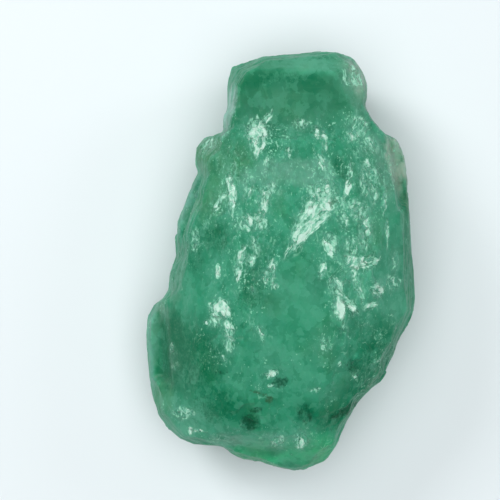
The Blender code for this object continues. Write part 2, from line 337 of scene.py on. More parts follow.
GREENS = {  # linear red, green, blue
    "body": (0.036, 0.345, 0.19),
    "bright": (0.04, 0.41, 0.235),
    "milky": (0.105, 0.46, 0.29),
    "veiled": (0.14, 0.42, 0.29),
    "deep": (0.004, 0.20, 0.092),
    "dark": (0.0, 0.11, 0.045),
    "olive": (0.07, 0.29, 0.125),
    "mossy": (0.045, 0.24, 0.095),
    # Vivid green of the foot, brightened as a painted glow of light through it.
    "vivid": (0.04, 0.52, 0.22),
    # Pale icy green for painted glow through thin edges, and for haze with a painted halo round the
    # flakes.
    "icy_haze_and_glow": (0.18, 0.46, 0.36),
    "ashen": (0.14, 0.34, 0.24),
    "sandy": (0.42, 0.56, 0.45),
    # Pale frost of the cracks, brightened by painted glints.
    "frost_and_glint": (0.34, 0.80, 0.57),
    # Near white for the painted glints on the brightest chips.
    "white": (0.68, 1.0, 0.84),
    "mica": (0.0, 0.055, 0.022),
    # Dark green for painted shadows, and for clouds of deep green.
    "shade": (0.0, 0.15, 0.062),
    "dull": (0.03, 0.20, 0.10),
    # Pale green for the painted glow of light through a thin side.
    "pale": (0.40, 0.66, 0.58),
    "rusty": (0.035, 0.075, 0.02),
}
# The green that each part of the stone turns to, with painted shadows and painted glow in a few zones,
# as noted at each. Later ones lie over earlier ones.
ZONES = {
    "block_face": (Patch(0.4, 7.8, 3.9, 1.7, strength=0.85), "dull"),
    # Painted shadow along the top edge of the block.
    "block_top_shadow": (Patch(-0.2, 8.5, 2.1, 0.35, -6, 0.5), "deep"),
    "block_edge_right": (Patch(2.2, 9.1, 2.0, 0.45, 0, 0.7), "milky"),
    "block_corner": (Patch(3.6, 8.5, 0.6, 1.2, -12, 0.8), "ashen"),
    "block_corner_tip": (Patch(3.6, 8.7, 0.4, 0.8, -15, 0.9), "sandy"),
    # Painted glow of light through the thin left side of the block.
    "block_left_side": (Patch(-2.5, 7.1, 0.3, 1.1, 5, 1.6), "pale"),
    "knob": (Patch(-3.6, 5.4, 1.0, 1.1, strength=1.0), "mossy"),
    "left_olive": (Patch(-2.5, 4.7, 1.2, 0.9, strength=0.7), "olive"),
    "left_olive_low": (Patch(-3.2, 3.0, 0.5, 1.2, 20, 0.6), "olive"),
    "crack_plane": (Patch(-0.5, 3.85, 0.8, 0.35, 15, 0.75), "milky"),
    "upper_band": (Patch(0.5, 4.15, 1.9, 0.55, -2, 1.8), "veiled"),
    "under_veil": (Patch(1.2, 3.1, 0.55, 0.35, -4, 0.6), "bright"),
    "upper_middle": (Patch(0.1, 5.9, 0.6, 0.9, strength=0.4), "milky"),
    "shadow_wedge": (Patch(2.75, 4.3, 0.3, 0.7, -25, 1.0), "deep"),
    "right_shoulder": (Patch(4.9, 4.2, 0.45, 1.6, -10, 0.55), "ashen"),
    "right_flake": (Patch(5.6, 4.4, 0.45, 1.4, -14, 1.8), "sandy"),
    "right_flake_edge": (Patch(5.95, 3.0, 0.16, 0.9, -8, 0.9), "dark"),
    "right_olive": (Patch(4.4, 1.3, 0.45, 0.8, strength=0.4), "olive"),
    "right_edge": (Patch(5.9, 0.8, 0.3, 2.2, strength=0.45), "deep"),
    "right_haze": (Patch(3.5, 1.2, 1.0, 1.4, strength=0.35), "milky"),
    "fan_haze": (Patch(3.3, -0.9, 1.1, 1.3, -20, 0.4), "milky"),
    "right_rim": (Patch(6.15, -0.5, 0.25, 2.6, 0, 0.7), "deep"),
    # Painted glow of light through the thin left rim.
    "left_rim": (Patch(-4.6, 2.4, 0.3, 1.9, 22, 0.9), "icy_haze_and_glow"),
    "upper_left": (Patch(-3.1, 1.15, 0.8, 0.55, 20, 0.85), "deep"),
    "left_edge": (Patch(-4.0, 0.3, 0.7, 0.9, strength=0.6), "deep"),
    "left_side": (Patch(-4.9, -0.6, 0.25, 1.6, strength=0.6), "ashen"),
    "mid_left": (Patch(-1.4, -0.6, 0.7, 0.8, strength=0.7), "deep"),
    "mid_left_low": (Patch(-1.0, -1.7, 0.9, 0.55, 25, 0.8), "deep"),
    "under_crackle": (Patch(-1.0, 0.7, 0.6, 0.5, strength=0.5), "deep"),
    "beside_feather": (Patch(0.3, 2.4, 0.6, 0.9, 30, 0.55), "bright"),
    "centre": (Patch(1.0, -1.2, 1.1, 1.9, 10, 0.5), "milky"),
    "right_centre": (Patch(5.2, -2.2, 0.8, 0.6, strength=0.4), "milky"),
    # Painted glow of light through the thin edge of the flange.
    "flange_edge": (Patch(-6.15, -3.8, 0.4, 2.2, 4, 1.0), "icy_haze_and_glow"),
    "flange_top": (Patch(-5.5, -2.6, 0.4, 0.7, -20, 0.8), "ashen"),
    # Painted shadow in the recess beside the flange.
    "flange_recess_shadow": (Patch(-5.1, -4.3, 0.55, 1.6, 3, 1.8), "dark"),
    "flange_foot": (Patch(-4.6, -5.4, 0.9, 0.7, -30, 0.7), "deep"),
    "lower_left": (Patch(-4.1, -4.5, 1.6, 1.7, -30, 1.3), "deep"),
    "lower_left_low": (Patch(-2.7, -6.8, 0.9, 0.9, strength=0.8), "deep"),
    "low_middle": (Patch(0.4, -4.4, 1.8, 1.0, strength=0.45), "milky"),
    "low_left_edge": (Patch(-5.6, -6.3, 0.5, 0.9, strength=0.6), "olive"),
    # Milky green of the bottom-left corner, made paler as a painted glow through the thin edge.
    "corner": (Patch(-4.6, -7.9, 1.2, 0.7, -38, 0.8), "milky"),
    # Painted light over the groove at the foot's step, which hides the shade there.
    "foot_step": (Patch(-1.9, -8.5, 2.2, 0.4, -12, 0.9), "milky"),
    "corner_stain": (Patch(-2.0, -8.55, 0.35, 0.25, -10, 0.6), "ashen"),
    # The next two: vivid green of the foot, brightened as a painted glow of light through the thin foot.
    "foot_lobe": (Patch(-1.0, -9.3, 1.9, 0.7, -15, 1.0), "vivid"),
    "foot_right": (Patch(1.9, -9.2, 1.1, 0.9, 30, 0.9), "vivid"),
    "foot_middle": (Patch(-0.2, -8.9, 0.5, 0.3, strength=0.6), "deep"),
    "smudge_left": (Patch(-1.5, -7.4, 0.5, 0.55, 20, 0.7), "deep"),
    "smudge_right": (Patch(1.2, -7.1, 0.5, 0.6, 10, 0.8), "deep"),
    "smudge_edge": (Patch(2.95, -7.05, 0.9, 0.4, -15, 0.9), "deep"),
    "low_right": (Patch(2.4, -7.3, 0.9, 0.7, strength=0.7), "deep"),
    "right_low": (Patch(4.6, -3.4, 0.8, 0.9, 30, 0.75), "deep"),
    "right_low_edge": (Patch(4.3, -5.3, 0.9, 2.6, 38, 0.9), "deep"),
    "right_low_rim": (Patch(4.9, -4.9, 0.3, 2.5, 36, 0.5), "dark"),
    "right_low_smudge": (Patch(3.3, -4.9, 0.25, 0.3, strength=0.7), "deep"),
}


def select_only(piece):
    """Leaves one object selected and active."""
    bpy.ops.object.select_all(action="DESELECT")
    piece.select_set(True)
    bpy.context.view_layer.objects.active = piece


def new_piece(name, mesh):
    """A new object with a mesh, linked to the scene, selected and active."""
    piece = bpy.data.objects.new(name, mesh)
    bpy.context.scene.collection.objects.link(piece)
    select_only(piece)
    return piece


def finish_piece(piece, *replaced):
    """Hands a finished piece to the frame."""
    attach(piece, "root")
    if replaced:
        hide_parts(*replaced)


class Wiring:
    """Adds nodes to a tree and wires their sockets as it goes."""

    def __init__(self, tree):
        self.tree = tree

    def node(self, kind, sockets=None, **settings):
        """A new node. Each socket, by name or number, takes a value or another node's output."""
        node = self.tree.nodes.new(kind)
        for name, value in settings.items():
            setattr(node, name, value)
        for key, value in (sockets or {}).items():
            if isinstance(value, bpy.types.NodeSocket):
                self.tree.links.new(value, node.inputs[key])
            else:
                node.inputs[key].default_value = value
        return node

    def math(self, operation, *values):
        """The result of one operation on numbers."""
        return self.node("ShaderNodeMath", dict(enumerate(values)), operation=operation).outputs[0]

    def vector(self, operation, *values):
        """The result of one operation on vectors, which a dot product makes a number."""
        node = self.node("ShaderNodeVectorMath", dict(enumerate(values)), operation=operation)
        return node.outputs["Value" if operation == "DOT_PRODUCT" else "Vector"]

    def blend(self, amount, first, second):
        """A number between two others."""
        return self.node("ShaderNodeMix", {"Factor": amount, "A": first, "B": second},
                         data_type="FLOAT").outputs["Result"]

    def colour_blend(self, amount, *colours):
        """A colour between two others, each of them plain or from a node."""
        first, second = (colour if isinstance(colour, bpy.types.NodeSocket) else (*colour, 1.0)
                         for colour in colours)
        return self.node("ShaderNodeMix", {0: amount, 6: first, 7: second},
                         data_type="RGBA").outputs[2]

    def noise(self, place, detail=2.0, roughness=0.5):
        """Noise from -1 to 1 about."""
        cloud = self.node("ShaderNodeTexNoise", {"Vector": place, "Scale": 1.0, "Detail": detail,
                                                 "Roughness": roughness})
        return self.math("MULTIPLY_ADD", cloud.outputs[0], 2.0, -1.0)

    def warped(self, place, size, reach):
        """A place pushed about by noise of a given size, by up to about reach."""
        cloud = self.node("ShaderNodeTexNoise",
                          {"Vector": place, "Scale": 1 / size, "Detail": 2.0}).outputs["Color"]
        push = self.vector("SUBTRACT", cloud, (0.5, 0.5, 0.5))
        return self.vector("MULTIPLY_ADD", push, (2 * reach, 2 * reach, 2 * reach), place)

    def window(self, value, low, high):
        """Rises smoothly from 0 at low to 1 at high."""
        return self.node("ShaderNodeMapRange", {"Value": value, "From Min": low, "From Max": high},
                         interpolation_type="SMOOTHSTEP").outputs[0]

    def cell_number(self, place, size):
        """A random number from 0 to 1 for each small cell of a place."""
        cells = self.node("ShaderNodeTexVoronoi",
                          {"Vector": self.vector("DIVIDE", place, size), "Scale": 1.0})
        return self.node("ShaderNodeSeparateXYZ", {0: cells.outputs["Color"]}).outputs["X"]

    def cell_border(self, place, size):
        """How far a point is from the border of its cell."""
        return self.node("ShaderNodeTexVoronoi",
                         {"Vector": self.vector("DIVIDE", place, size), "Scale": 1.0},
                         feature="DISTANCE_TO_EDGE").outputs["Distance"]

    def tilted_cells(self, place, size, lean, spread):
        """Height of a surface broken into small flat cells, each of which leans its own way.

        lean is the slope that they share, and spread how much each one differs from it.
        """
        cells = self.node("ShaderNodeTexVoronoi",
                          {"Vector": self.vector("DIVIDE", place, size), "Scale": 1.0})
        own = self.vector("SUBTRACT", cells.outputs["Color"], (0.5, 0.5, 0.5))
        slope = self.vector("MULTIPLY_ADD", own, (spread, spread, spread), lean)
        middle = self.vector("MULTIPLY", cells.outputs["Position"], size)
        return self.vector("DOT_PRODUCT", slope, self.vector("SUBTRACT", place, middle))


def patch_frame(points, patch):
    """Where each point lies in a patch: millimetres across and along it, and how far out."""
    turn = math.radians(patch.turn)
    right, up = points[:, 0] - patch.x, points[:, 1] - patch.y
    across = right * math.cos(turn) - up * math.sin(turn)
    along = right * math.sin(turn) + up * math.cos(turn)
    across = across / np.clip(1 + patch.narrowing * along / patch.half_length, 0.15, 2.0)
    return across, along, np.hypot(across / patch.half_width, along / patch.half_length)


def fade(reach, edge, strength):
    """Full inside a patch and nothing outside, over an edge that is a share of its size."""
    return strength * np.clip((1 + edge / 2 - reach) / edge, 0.0, 1.0)


def ragged(points, *pushes):
    """Points pushed about, so that a patch laid on them has a ragged edge.

    Each push is a number of waves to the millimetre and a reach in millimetres.
    """
    noise.seed_set(NOISE_SEED)
    return points + sum(np.array([noise.noise_vector(Vector(point) * waves) for point in points]) * reach
                        for waves, reach in pushes)


def store(mesh, name, kind, values):
    """Keeps one value for each point of the mesh under a name that materials can read."""
    layer = mesh.attributes.new(name, kind, "POINT")
    layer.data.foreach_set("vector" if kind == "FLOAT_VECTOR" else "value",
                           np.ascontiguousarray(values, np.float32).ravel())


def read_points(mesh, name, scale=1.0):
    """The places or the normals of a mesh's points, one row each."""
    rows = np.zeros(len(mesh.vertices) * 3, np.float32)
    if name == "co":
        mesh.vertices.foreach_get("co", rows)
    else:
        mesh.vertex_normals.foreach_get("vector", rows)
    return rows.reshape(-1, 3) * scale


def facing_up(normals, steepness):
    """How much each point faces up: 0 on a wall, and 1 from a rise of 1 / steepness."""
    return np.clip(normals[:, 2] * steepness, 0.0, 1.0)


def mark_flakes(mesh, points, normals, front, shared_lean):
    """Marks how strongly each point of the crystal shines, by gloss and by painted glints, and where it
    lies in its nearest flake.
    """
    count = len(points)
    pushed = ragged(points, *FLAKE_PUSHES)
    nearest, second = np.full(count, np.inf), np.full(count, np.inf)
    flake, turn = np.zeros(count), np.zeros(count)
    patch_place = np.zeros((count, 3))
    for number, patch in enumerate(FLAKES.values()):
        across, along, reach = patch_frame(pushed, patch)
        distance = (reach - 1) * min(patch.half_width, patch.half_length)
        closest = distance < nearest
        edge = np.where(across > 0, FLAKE_EDGES[1], FLAKE_EDGES[0])
        own = np.stack([across, along, points[:, 2] + number * FLAKES_APART], 1)
        second = np.where(closest, nearest, np.minimum(second, distance))
        nearest = np.where(closest, distance, nearest)
        turn = np.where(closest, math.radians(patch.turn), turn)
        patch_place = np.where(closest[:, None], own, patch_place)
        flake = np.where(closest, fade(reach, edge, patch.strength), flake)
    steep = np.maximum(normals[:, 2], STEEPEST)
    lean_x, lean_y = (normals[:, side] / steep + shared_lean[side] for side in (0, 1))
    lean = np.stack([lean_x * np.cos(turn) - lean_y * np.sin(turn),
                     lean_x * np.sin(turn) + lean_y * np.cos(turn), np.zeros(count)], 1)
    store(mesh, "flake", "FLOAT", flake * front)
    store(mesh, "chipped", "FLOAT", flake * front * np.clip((second - nearest) / SEAM, 0.0, 1.0))
    store(mesh, "sprinkle", "FLOAT", np.clip(1 - nearest / SPRINKLE, 0.0, 1.0) * front)
    store(mesh, "patch_place", "FLOAT_VECTOR", patch_place)
    store(mesh, "patch_lean", "FLOAT_VECTOR", lean)


def mark_smooth(mesh, points, normals):
    """Marks the parts of the crystal that are smooth."""
    pushed = ragged(points, *FLAKE_PUSHES)
    smooth = np.zeros(len(points))
    for patch in SMOOTH.values():
        smooth = np.maximum(smooth, fade(patch_frame(pushed, patch)[2], SMOOTH_EDGE, patch.strength))
    on_front = SMOOTH_ON_WALLS + (1 - SMOOTH_ON_WALLS) * facing_up(normals, 2.0)
    store(mesh, "smooth", "FLOAT", smooth * on_front)


def mark_zones(mesh, points, normals):
    """Marks the green that each point of the crystal has, with painted shadows and glow among the zones.
    """
    clouded = ragged(points, *ZONE_PUSHES)
    facing = facing_up(normals, 2.5)
    above_base = np.clip((points[:, 2] - ZONE_FOOT + ZONE_DROP * facing) / FADE_HEIGHT, 0.0, 1.0)
    on_front = ZONE_ON_WALLS + (1 - ZONE_ON_WALLS) * facing
    colour = np.tile(np.array(GREENS["body"]), (len(points), 1))
    for patch, green in ZONES.values():
        weight = fade(patch_frame(clouded, patch)[2], ZONE_EDGE, patch.strength) * above_base * on_front
        weight = np.minimum(weight, 1.0)[:, None]
        colour = colour * (1 - weight) + np.array(GREENS[green]) * weight
    store(mesh, "zone", "FLOAT_VECTOR", colour)


def mark_stains_and_shadows(mesh, points, front):
    """Marks how strong the stains and painted shadows are at each point of the crystal, and their
    colour.
    """
    pushed = ragged(points, *FLAKE_PUSHES)
    stain, stain_colour = np.zeros(len(points)), np.zeros((len(points), 3))
    for patch, green in STAINS_AND_SHADOWS.values():
        weight = fade(patch_frame(pushed, patch)[2], STAIN_EDGE, patch.strength) * front
        stain_colour = np.where((weight > stain)[:, None], GREENS[green], stain_colour)
        stain = np.maximum(stain, weight)
    store(mesh, "stain", "FLOAT", stain)
    store(mesh, "stain_colour", "FLOAT_VECTOR", stain_colour)


def mark_crystal(mesh, shared_lean):
    """Marks flakes, smooth parts, stains and zones of colour on the points of the crystal, with the
    painted glints, shadows and glow among them.
    """
    points, normals = read_points(mesh, "co", 1 / MM), read_points(mesh, "normal")
    above_base = np.clip((points[:, 2] - FLAKE_FOOT) / FADE_HEIGHT, 0.0, 1.0)
    front = above_base * facing_up(normals, 3.0)
    mark_flakes(mesh, points, normals, front, shared_lean)
    mark_smooth(mesh, points, normals)
    mark_zones(mesh, points, normals)
    mark_stains_and_shadows(mesh, points, front)


def cover_of(w, place):
    """How much pale strokes cover, from about -1 to 1, in a ragged pattern drawn out along Y."""
    blotch = w.noise(w.vector("DIVIDE", place, BLOTCH), 3.0, 0.6)
    stroke = w.noise(w.vector("DIVIDE", place, STROKE), 3.0, 0.65)
    return w.math("ADD", w.math("MULTIPLY", blotch, 1.1), w.math("MULTIPLY", stroke, 1.3))


def strokes_of(w, place, density):
    """Pale strokes along Y, from 0 to 1, which cover more where density is higher."""
    return w.window(w.math("ADD", cover_of(w, place), density), 0.5, 1.1)


def threads_of(w, place, density):
    """Short thin pale lines that curl over the surface, from 0 to 1."""
    curl = w.math("ABSOLUTE", w.noise(w.vector("MULTIPLY", place, CURL), 2.0, 0.6))
    spread = w.noise(w.vector("MULTIPLY_ADD", place, CURLED, CURLED_AWAY), 2.0)
    return w.math("MULTIPLY", w.window(curl, 0.05, 0.01),
                  w.window(w.math("ADD", spread, density), 0.2, 0.45))


def sparks_of(w, place, density):
    """Tiny pale dots, which are painted glints, and pale threads, strewn in clusters, from 0 to 1."""
    strewn = w.noise(w.vector("MULTIPLY", place, STREWN), 2.0)
    strewn = w.math("MULTIPLY_ADD", strewn, 0.5, w.math("MULTIPLY", density, 0.35))
    sparks = w.noise(w.vector("DIVIDE", place, SPARK), 2.0, 0.6)
    sparks = w.math("MULTIPLY", w.window(w.math("ADD", sparks, strewn), 0.36, 0.54), 0.75)
    threads = w.math("MULTIPLY", threads_of(w, place, w.math("MULTIPLY", density, 0.2)), 0.45)
    return w.math("MAXIMUM", sparks, threads)


def chip_place(w, patch_place):
    """A place in a flake, bent so that the chips on it have ragged outlines."""
    return w.warped(w.warped(patch_place, 0.7, 0.25), 0.16, 0.09)


def flake_cover(w, patch_place, flake):
    """How pale each flake is, chip by chip, from about 0 to 2: pale frost of the crack with painted
    glints on it.
    """
    shine = w.math("SUBTRACT", w.cell_number(chip_place(w, patch_place), CHIP), 0.5)
    cover = w.math("ADD", w.math("MULTIPLY", cover_of(w, patch_place), 0.95), shine)
    cover = w.math("ADD", cover, flake)
    return w.math("MULTIPLY", cover, w.window(flake, 0.0, 0.4))


def flake_strokes(w, cover):
    """The bright chips and strokes that each flake is drawn with, from 0 to 1: pale frost with painted
    glints.
    """
    return w.window(cover, 0.45, 0.95)


def chip_cracks(w, patch_place, cover):
    """Broken dark lines between the chips of a flake, from 0 to 1."""
    border = w.cell_border(chip_place(w, patch_place), CHIP)
    crack = w.math("MULTIPLY", w.window(border, 0.1, 0.0), w.window(cover, 0.2, 0.7))
    gaps = w.noise(w.vector("MULTIPLY", patch_place, CRACK_GAPS), 2.0)
    return w.math("MULTIPLY", crack, w.window(gaps, -0.15, 0.3))


def flake_chips(w, patch_place, lean):
    """Height of the flat chips that each flake is made of."""
    return w.tilted_cells(w.warped(patch_place, 2.0, 0.08), CHIP, lean, CHIP_SPREAD)


def relief_nodes(surface):
    """The geometry nodes that break up the crystal's surface."""
    tree = bpy.data.node_groups.new("broken surface", "GeometryNodeTree")
    tree.interface.new_socket("Geometry", in_out="INPUT", socket_type="NodeSocketGeometry")
    tree.interface.new_socket("Geometry", in_out="OUTPUT", socket_type="NodeSocketGeometry")
    w = Wiring(tree)

    def attribute(name, kind="FLOAT"):
        return w.node("GeometryNodeInputNamedAttribute", {"Name": name},
                      data_type=kind).outputs["Attribute"]

    patch_place = attribute("patch_place", "FLOAT_VECTOR")
    place = w.vector("MULTIPLY", w.node("GeometryNodeInputPosition").outputs[0], (1 / MM,) * 3)
    normal = w.node("GeometryNodeInputNormal").outputs[0]
    facing = w.window(w.node("ShaderNodeSeparateXYZ", {0: normal}).outputs["Z"], 0.15, 0.6)
    facets = w.tilted_cells(w.warped(place, 0.8, 0.35), FACET, (0.0, 0.0, 0.0), FACET_SPREAD)
    crackle = w.tilted_cells(w.warped(place, 2.0, 0.1), CRACKLE, (0.0, 0.0, 0.0), CRACKLE_SPREAD)
    hackly = w.window(w.noise(w.vector("MULTIPLY", place, HACKLY), 3.0), -0.1, 0.5)
    crackle = w.math("MULTIPLY", crackle, w.blend(hackly, 0.2, 1.0))
    swell = w.noise(w.vector("MULTIPLY", place, SWELL), 3.0)
    broken = w.math("MULTIPLY_ADD", swell, SWELL_HEIGHT, w.math("ADD", facets, crackle))
    broken = w.math("MULTIPLY", broken, w.math("SUBTRACT", 1.0, attribute("smooth")))
    broken = w.math("MULTIPLY", broken, w.blend(facing, 0.7, 1.0))
    ridges = w.noise(w.vector("MULTIPLY", w.warped(place, 1.5, 0.2), STRIATION), 3.0, 0.6)
    broken = w.math("ADD", broken, w.math("MULTIPLY", ridges, w.blend(facing, RIDGE_HEIGHT, 0.0)))
    chips = flake_chips(w, patch_place, attribute("patch_lean", "FLOAT_VECTOR"))
    chips = w.math("MULTIPLY", chips, 1 - BUMPED_SHARE)
    chipped = w.math("MULTIPLY", w.window(attribute("chipped"), 0.2, 1.0), facing)
    strokes = flake_strokes(w, flake_cover(w, patch_place, attribute("flake")))
    chips = w.math("MULTIPLY_ADD", strokes, STROKE_HEIGHT, chips)
    height = w.math("MULTIPLY_ADD", chips, chipped, broken)
    clear_of_base = w.window(w.node("ShaderNodeSeparateXYZ", {0: place}).outputs["Z"], 0.05, 0.8)
    height = w.math("MULTIPLY", height, w.math("MULTIPLY", clear_of_base, surface.relief * MM))
    offset = w.node("ShaderNodeVectorMath", {0: normal, "Scale": height}, operation="SCALE").outputs[0]
    inside = w.node("NodeGroupInput").outputs["Geometry"]
    moved = w.node("GeometryNodeSetPosition", {"Geometry": inside, "Offset": offset})
    w.node("NodeGroupOutput", {"Geometry": moved.outputs["Geometry"]})
    return tree


def shape_crystal(surface):
    """A copy of the crystal's solid with its surface gridded finely and broken up."""
    crystal = new_piece(CRYSTAL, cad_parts[CAD_NODE].data.copy())
    bpy.ops.object.mode_set(mode="EDIT")
    bpy.ops.mesh.select_all(action="SELECT")
    bpy.ops.mesh.remove_doubles(threshold=MERGED)
    bpy.ops.object.mode_set(mode="OBJECT")
    grid = crystal.modifiers.new("grid", "REMESH")
    grid.mode = "VOXEL"
    grid.voxel_size = surface.grid
    bpy.ops.object.modifier_apply(modifier=grid.name)
    for face in crystal.data.polygons:
        face.select = face.normal.z > FINER
    bpy.context.tool_settings.mesh_select_mode = (False, False, True)
    bpy.ops.object.mode_set(mode="EDIT")
    bpy.ops.mesh.subdivide(number_cuts=1)
    bpy.ops.object.mode_set(mode="OBJECT")
    mark_crystal(crystal.data, surface.flake_lean)
    relief = crystal.modifiers.new("relief", "NODES")
    relief.node_group = relief_nodes(surface)
    bpy.ops.object.modifier_apply(modifier=relief.name)
    for corner in crystal.data.vertices:
        corner.co.z = max(corner.co.z, 0.0)
    bpy.ops.object.shade_smooth()
    return crystal


def under_front(x, y, depth):
    """The place at a depth under the front of the crystal, in metres."""
    crystal = bpy.data.objects[CRYSTAL]
    top = CAD_BOX[1].z * 2
    hit, surface, _, _ = crystal.ray_cast(Vector((x * MM, y * MM, top)), Vector((0.0, 0.0, -1.0)))
    if not hit:
        raise ValueError(f"no stone at {x}, {y}")
    return surface - Vector((0.0, 0.0, depth * MM))


def crumple(piece, size, reach):
    """Pushes the points of a piece in and out by clouds of a given size, in metres."""
    clouds = bpy.data.textures.new(piece.name, "CLOUDS")
    clouds.noise_scale = size
    push = piece.modifiers.new("crumple", "DISPLACE")
    push.texture = clouds
    push.texture_coords = "LOCAL"
    push.strength = reach
    push.mid_level = 0.5
    select_only(piece)
    bpy.ops.object.modifier_apply(modifier=push.name)


def turned_in_place(piece, place, *turns):
    """Turns the whole mesh of a piece about a place, by degrees about an axis at a time."""
    select_only(piece)
    bpy.ops.object.mode_set(mode="EDIT")
    bpy.ops.mesh.select_all(action="SELECT")
    for axis, degrees in turns:
        bpy.ops.transform.rotate(value=-math.radians(degrees), orient_axis=axis,
                                 orient_type="GLOBAL", center_override=place)
    bpy.ops.object.mode_set(mode="OBJECT")


def settle(piece, name):
    """Names a new piece and moves its place into its mesh."""
    piece.name = piece.data.name = name
    select_only(piece)
    bpy.ops.object.transform_apply(location=True, rotation=True, scale=True)


def shape_speck(name, speck):
    """A flat, ragged grain of dark mica."""
    place = under_front(speck.x, speck.y, speck.depth)
    bpy.ops.object.select_all(action="DESELECT")
    bpy.ops.mesh.primitive_ico_sphere_add(subdivisions=4, radius=speck.radius * MM, location=place)
    piece = bpy.context.active_object
    settle(piece, name)
    bpy.ops.object.mode_set(mode="EDIT")
    bpy.ops.mesh.select_all(action="SELECT")
    bpy.ops.transform.resize(value=SPECK_SHAPE, center_override=place)
    bpy.ops.object.mode_set(mode="OBJECT")
    turned_in_place(piece, place, ("Z", speck.turn), ("X", SPECK_PITCH))
    crumple(piece, speck.radius * MM * 0.6, speck.radius * MM)
    bpy.ops.object.shade_smooth_by_angle(angle=math.radians(30))
    return piece


def trim_to_stone(piece):
    """Deletes the points of a sheet that lie outside the stone or just under its surface."""
    crystal = bpy.data.objects[CRYSTAL]
    select_only(piece)
    bpy.context.tool_settings.mesh_select_mode = (True, False, False)
    bpy.ops.object.mode_set(mode="EDIT")
    bpy.ops.mesh.select_all(action="DESELECT")
    bpy.ops.object.mode_set(mode="OBJECT")
    for corner in piece.data.vertices:
        _, surface, outward, _ = crystal.closest_point_on_mesh(corner.co)
        corner.select = (surface - corner.co).dot(outward) < SKIN * MM
    bpy.ops.object.mode_set(mode="EDIT")
    bpy.ops.mesh.delete(type="VERT")
    bpy.ops.object.mode_set(mode="OBJECT")


def sheet_reach(spot, place, sheet):
    """How far out a spot lies in a sheet, 1 at its rim, with a ragged pattern laid over it."""
    out = ((spot - place) * 2).xy
    reach = math.hypot(out.x / sheet.width, out.y / sheet.length) / MM
    cloud = noise.noise(spot / MM * 1.7) + 0.7 * noise.noise(spot / MM * 6)
    return reach + cloud * 0.8


def shape_sheet(name, sheet, hole_share):
    """A thin bent sheet inside the stone, with a ragged edge and holes."""
    place = under_front(sheet.x, sheet.y, sheet.depth)
    bpy.ops.object.select_all(action="DESELECT")
    steps = [max(2, round(side / SHEET_GRID)) for side in (sheet.width, sheet.length)]
    bpy.ops.mesh.primitive_grid_add(x_subdivisions=steps[0], y_subdivisions=steps[1], size=MM,
                                    location=place)
    piece = bpy.context.active_object
    settle(piece, name)
    bpy.ops.object.mode_set(mode="EDIT")
    bpy.ops.mesh.select_all(action="SELECT")
    bpy.ops.transform.resize(value=(sheet.width, sheet.length, 1.0), center_override=place)
    bpy.ops.mesh.select_all(action="DESELECT")
    bpy.ops.object.mode_set(mode="OBJECT")
    bpy.context.tool_settings.mesh_select_mode = (False, False, True)
    for face in piece.data.polygons:
        face.select = sheet_reach(face.center, place, sheet) > SHEET_RIM - hole_share
    bpy.ops.object.mode_set(mode="EDIT")
    bpy.ops.mesh.delete(type="FACE")
    bpy.ops.object.mode_set(mode="OBJECT")
    turned_in_place(piece, place, ("Y", sheet.roll), ("X", sheet.pitch), ("Z", sheet.turn))
    crumple(piece, min(sheet.width, sheet.length) * 0.4 * MM, sheet.bend * MM)
    trim_to_stone(piece)
    wall = piece.modifiers.new("wall", "SOLIDIFY")
    wall.thickness = SHEET_WALL * MM
    bpy.ops.object.modifier_apply(modifier=wall.name)
    return piece


def grainy_finish(name, dark, light, roughness, size):
    """A dull finish for what is sealed in the stone, clouded between two colours."""
    finish = bpy.data.materials.new(name)
    finish.use_nodes = True
    w = Wiring(finish.node_tree)
    shader = finish.node_tree.nodes["Principled BSDF"]
    place = w.vector("MULTIPLY", w.node("ShaderNodeTexCoord").outputs["Object"], (1 / size,) * 3)
    cloud = w.window(w.noise(place, 4.0, 0.6), -0.4, 0.4)
    finish.node_tree.links.new(w.colour_blend(cloud, dark, light), shader.inputs["Base Color"])
    finish.node_tree.links.new(w.blend(cloud, roughness, roughness * 0.7), shader.inputs["Roughness"])
    bump = w.node("ShaderNodeBump", {"Height": w.math("MULTIPLY", cloud, size * 0.1), "Distance": 1.0})
    finish.node_tree.links.new(bump.outputs[0], shader.inputs["Normal"])
    return finish


def tinted(w, base, green, share, value, low, high):
    """Turns a colour towards a green, by up to a share, as a value goes from low to high."""
    return w.colour_blend(w.math("MULTIPLY", w.window(value, low, high), share), base, GREENS[green])


def stone_green(w, place, zone, smooth):
    """The green of the bare stone: its zones, clouds, growth lines and patches of tone."""
    clouds = w.noise(w.vector("MULTIPLY", place, CLOUD), 4.0, 0.6)
    mottle = w.noise(w.vector("MULTIPLY", place, MOTTLE), 4.0, 0.6)
    cloudy = w.math("MULTIPLY_ADD", mottle, 0.6, clouds)
    green = tinted(w, zone, "deep", 0.9, cloudy, 0.0, -0.7)
    green = tinted(w, green, "milky", 0.55, cloudy, 0.05, 0.7)
    tinge = w.noise(w.vector("MULTIPLY", w.vector("ADD", place, TINGE_AWAY), TINGE), 3.0)
    green = tinted(w, green, "olive", 0.5, tinge, 0.0, 0.6)
    growth = w.noise(w.vector("MULTIPLY", w.warped(place, 3.0, 0.35), GROWTH), 3.0, 0.6)
    growth = w.math("MULTIPLY", w.window(growth, 0.0, 0.6), smooth)
    green = w.colour_blend(w.math("MULTIPLY", growth, 0.25), green, GREENS["milky"])
    for size, change in PATCHWORK:
        bent = w.warped(w.warped(place, 2 * size[0], size[0]), size[0] / 2, 0.12)
        tone = w.cell_number(bent, size)
        green = tinted(w, green, "deep", change, tone, 0.5, 1.0)
        green = tinted(w, green, "milky", change, tone, 0.5, 0.0)
    return green


